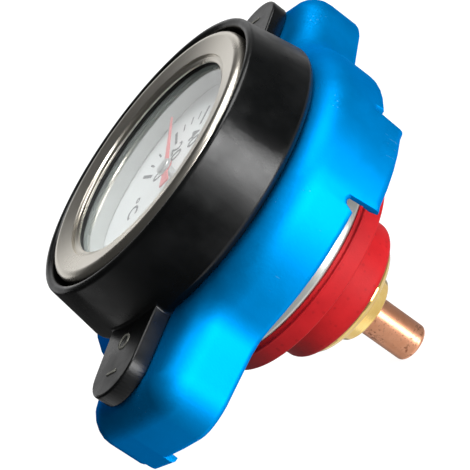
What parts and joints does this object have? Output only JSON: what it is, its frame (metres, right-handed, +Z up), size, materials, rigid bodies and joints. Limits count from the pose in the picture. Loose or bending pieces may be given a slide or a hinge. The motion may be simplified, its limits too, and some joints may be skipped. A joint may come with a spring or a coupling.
{
  "type": "radiator cap thermometer",
  "caption": "Bayonet radiator filler cap with two ears, a round dial thermometer in a black housing on top, a spring-loaded valve with red gaskets below and a copper probe.",
  "frame": {"origin": "on the axis of the cap, at the underside of the upper gasket, where the cap seats on the filler neck", "axes": "+Z up the axis through the dial, +X through one of the two ears, +Y through the side with a bayonet tab"},
  "size_m": [0.0832, 0.0594, 0.0552],
  "materials": {
    "blue_anodised": "satin blue anodised sheet",
    "black_plastic": "satin moulded black",
    "nickel": "polished nickel",
    "bright_steel": "plain zinc-plated steel",
    "clear_glass": "clear flat glass",
    "black_rubber": "matte",
    "dial_white": "matte white",
    "pointer_red": "matte red",
    "brass": "polished brass",
    "copper": "polished copper tube",
    "red_silicone": "matte red silicone"
  },
  "bodies": {
    "cap": {"cap_shell": "blue_anodised", "gauge_housing": "black_plastic", "lug_screws": "bright_steel", "gauge_case": "bright_steel", "bezel_ring": "nickel", "lens": "clear_glass", "lens_gasket": "black_rubber", "dial_ring": "dial_white", "dial_plate": "dial_white", "spindle_bush": "brass", "bimetal_coil": "bright_steel", "tube_plug": "brass", "probe_tube": "copper", "stem_ferrule": "brass", "guide_sleeve": "bright_steel", "probe_o_ring": "black_rubber"},
    "pointer": {"pointer": "pointer_red", "pointer_hub": "bright_steel", "spindle": "bright_steel", "coil_collar": "brass"},
    "seal": {"spring_bell": "bright_steel", "seal_plate": "bright_steel", "upper_gasket": "red_silicone", "pressure_spring": "bright_steel"},
    "pressure_valve": {"valve_cup": "bright_steel", "lower_gasket": "red_silicone", "vacuum_spring": "bright_steel"},
    "vacuum_valve": {"vacuum_plate": "brass", "spring_washer": "bright_steel"}
  },
  "joints": [
    {"name": "pointer_turn", "type": "hinge", "parent": "cap", "child": "pointer", "pos_m": [0, 0, 0.027], "axis": [0, 0, 1], "range_deg": [-230, 42], "stiffness_Nm_per_rad": 0.00001},
    {"name": "seal_swivel", "type": "hinge", "parent": "cap", "child": "seal", "pos_m": [0, 0, 0.0178], "axis": [0, 0, 1], "continuous": true},
    {"name": "pressure_valve_lift", "type": "slide", "parent": "seal", "child": "pressure_valve", "axis": [0, 0, 1], "range_m": [0, 0.002], "stiffness_N_per_m": 200, "springref_m": -0.002, "deforming": ["pressure_spring"]},
    {"name": "vacuum_valve_drop", "type": "slide", "parent": "pressure_valve", "child": "vacuum_valve", "axis": [0, 0, -1], "range_m": [0, 0.0015], "stiffness_N_per_m": 100, "springref_m": -0.003, "deforming": ["vacuum_spring"]}
  ]
}
